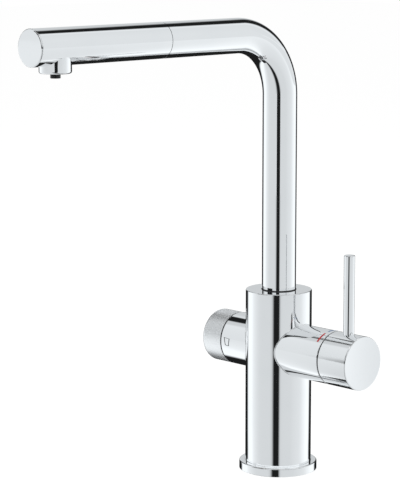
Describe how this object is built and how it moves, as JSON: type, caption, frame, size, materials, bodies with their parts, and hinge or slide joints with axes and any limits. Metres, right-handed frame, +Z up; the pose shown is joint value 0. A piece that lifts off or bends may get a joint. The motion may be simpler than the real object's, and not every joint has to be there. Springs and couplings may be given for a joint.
{
  "type": "pull-out filter kitchen tap",
  "caption": "Tall chrome kitchen tap with a right-angled spout that swivels, a pull-out spray head, a side mixer with an upright rod lever and a knob for filtered water.",
  "frame": {"origin": "centre of the base ring's underside, on the worktop", "axes": "+Z up along the riser, -Y along the arm towards the user, +X towards the mixer"},
  "size_m": [0.1484, 0.2687, 0.3444],
  "materials": {
    "chrome_tube": "bright polished chrome plate",
    "chrome_body": "bright polished chrome plate",
    "chrome_handle": "bright polished chrome plate",
    "chrome_head": "bright polished chrome plate",
    "brass_core": "machined brass",
    "steel_small": "plain stainless steel",
    "seal_rubber": "black rubber seal",
    "bush_plastic": "white slide-bearing plastic",
    "dock_plastic": "grey moulded plastic",
    "cartridge_plastic": "off-white moulded plastic",
    "waterway_plastic": "dark moulded plastic",
    "aerator_plastic": "light grey moulded plastic",
    "outlet_plastic": "black moulded plastic",
    "ceramic": "opaque lapped ceramic",
    "hose_braid": "grey woven nylon over rubber",
    "tube_plastic": "white food-grade tube"
  },
  "bodies": {
    "tap_body": {"base_ring": "chrome_body", "base_seal": "seal_rubber", "body_shell": "chrome_body", "body_core": "brass_core", "mixer_housing": "chrome_body", "filter_housing": "chrome_body", "cartridge_base": "cartridge_plastic", "cartridge_seals": "seal_rubber", "cartridge_shell": "cartridge_plastic", "fixed_disc": "ceramic", "cartridge_clamp_nut": "brass_core", "dome_cover": "chrome_body", "valve_body": "brass_core", "valve_base_seal": "seal_rubber", "valve_fixed_disc": "ceramic", "valve_spindle_seal": "seal_rubber", "swivel_bush_upper": "bush_plastic", "spout_thrust_washer": "bush_plastic", "swivel_stop_screw": "steel_small"},
    "mixer_turn": {"mixer_driver": "cartridge_plastic", "pivot_pin": "steel_small"},
    "mixer_slider": {"moving_disc": "ceramic", "disc_carrier": "cartridge_plastic"},
    "mixer_lever": {"lever_spindle": "brass_core", "mixer_cap": "chrome_handle", "lever_rod": "chrome_handle", "cap_grub_screw": "steel_small", "cap_plug": "chrome_handle"},
    "filter_handle": {"filter_spindle": "brass_core", "valve_moving_disc": "ceramic", "filter_knob": "chrome_handle", "knob_grub_screw": "steel_small", "knob_plug": "chrome_handle"},
    "spout": {"spout_tube": "chrome_tube", "swivel_bush_lower": "bush_plastic", "spout_clip_ring": "steel_small", "dock_bush": "dock_plastic", "pull_out_hose": "hose_braid", "filter_tube": "tube_plastic", "hose_foot_fitting": "brass_core"},
    "spray_head": {"head_shell": "chrome_head", "head_end_cap": "chrome_head", "head_waterway": "waterway_plastic", "dock_spigot": "dock_plastic", "hose_ferrule": "steel_small", "hose_nipple": "brass_core", "check_valve": "waterway_plastic", "head_seal": "seal_rubber", "aerator_housing": "aerator_plastic", "aerator_insert": "aerator_plastic", "filter_outlet": "outlet_plastic"}
  },
  "joints": [
    {"name": "spout_swivel", "type": "hinge", "parent": "tap_body", "child": "spout", "pos_m": [0, 0, 0], "axis": [0, 0, 1], "range_deg": [-75, 75]},
    {"name": "head_pull_out", "type": "slide", "parent": "spout", "child": "spray_head", "axis": [0, -1, 0], "range_m": [0, 0.25], "deforming": ["pull_out_hose", "filter_tube"]},
    {"name": "temperature_turn", "type": "hinge", "parent": "tap_body", "child": "mixer_turn", "pos_m": [0.05, 0, 0.0944], "axis": [1, 0, 0], "range_deg": [-45, 45]},
    {"name": "flow_lift", "type": "hinge", "parent": "mixer_turn", "child": "mixer_lever", "pos_m": [0.05, 0, 0.0944], "axis": [0, 1, 0], "range_deg": [0, 22]},
    {"name": "disc_slide", "type": "slide", "parent": "mixer_turn", "child": "mixer_slider", "axis": [0, 0, 1], "range_m": [0, 0.0049]},
    {"name": "filter_turn", "type": "hinge", "parent": "tap_body", "child": "filter_handle", "pos_m": [0, 0, 0.0944], "axis": [-1, 0, 0], "range_deg": [0, 90]}
  ],
  "couplings": [
    {"joint": "disc_slide", "follows": "flow_lift", "m_per_rad": 0.01252}
  ]
}
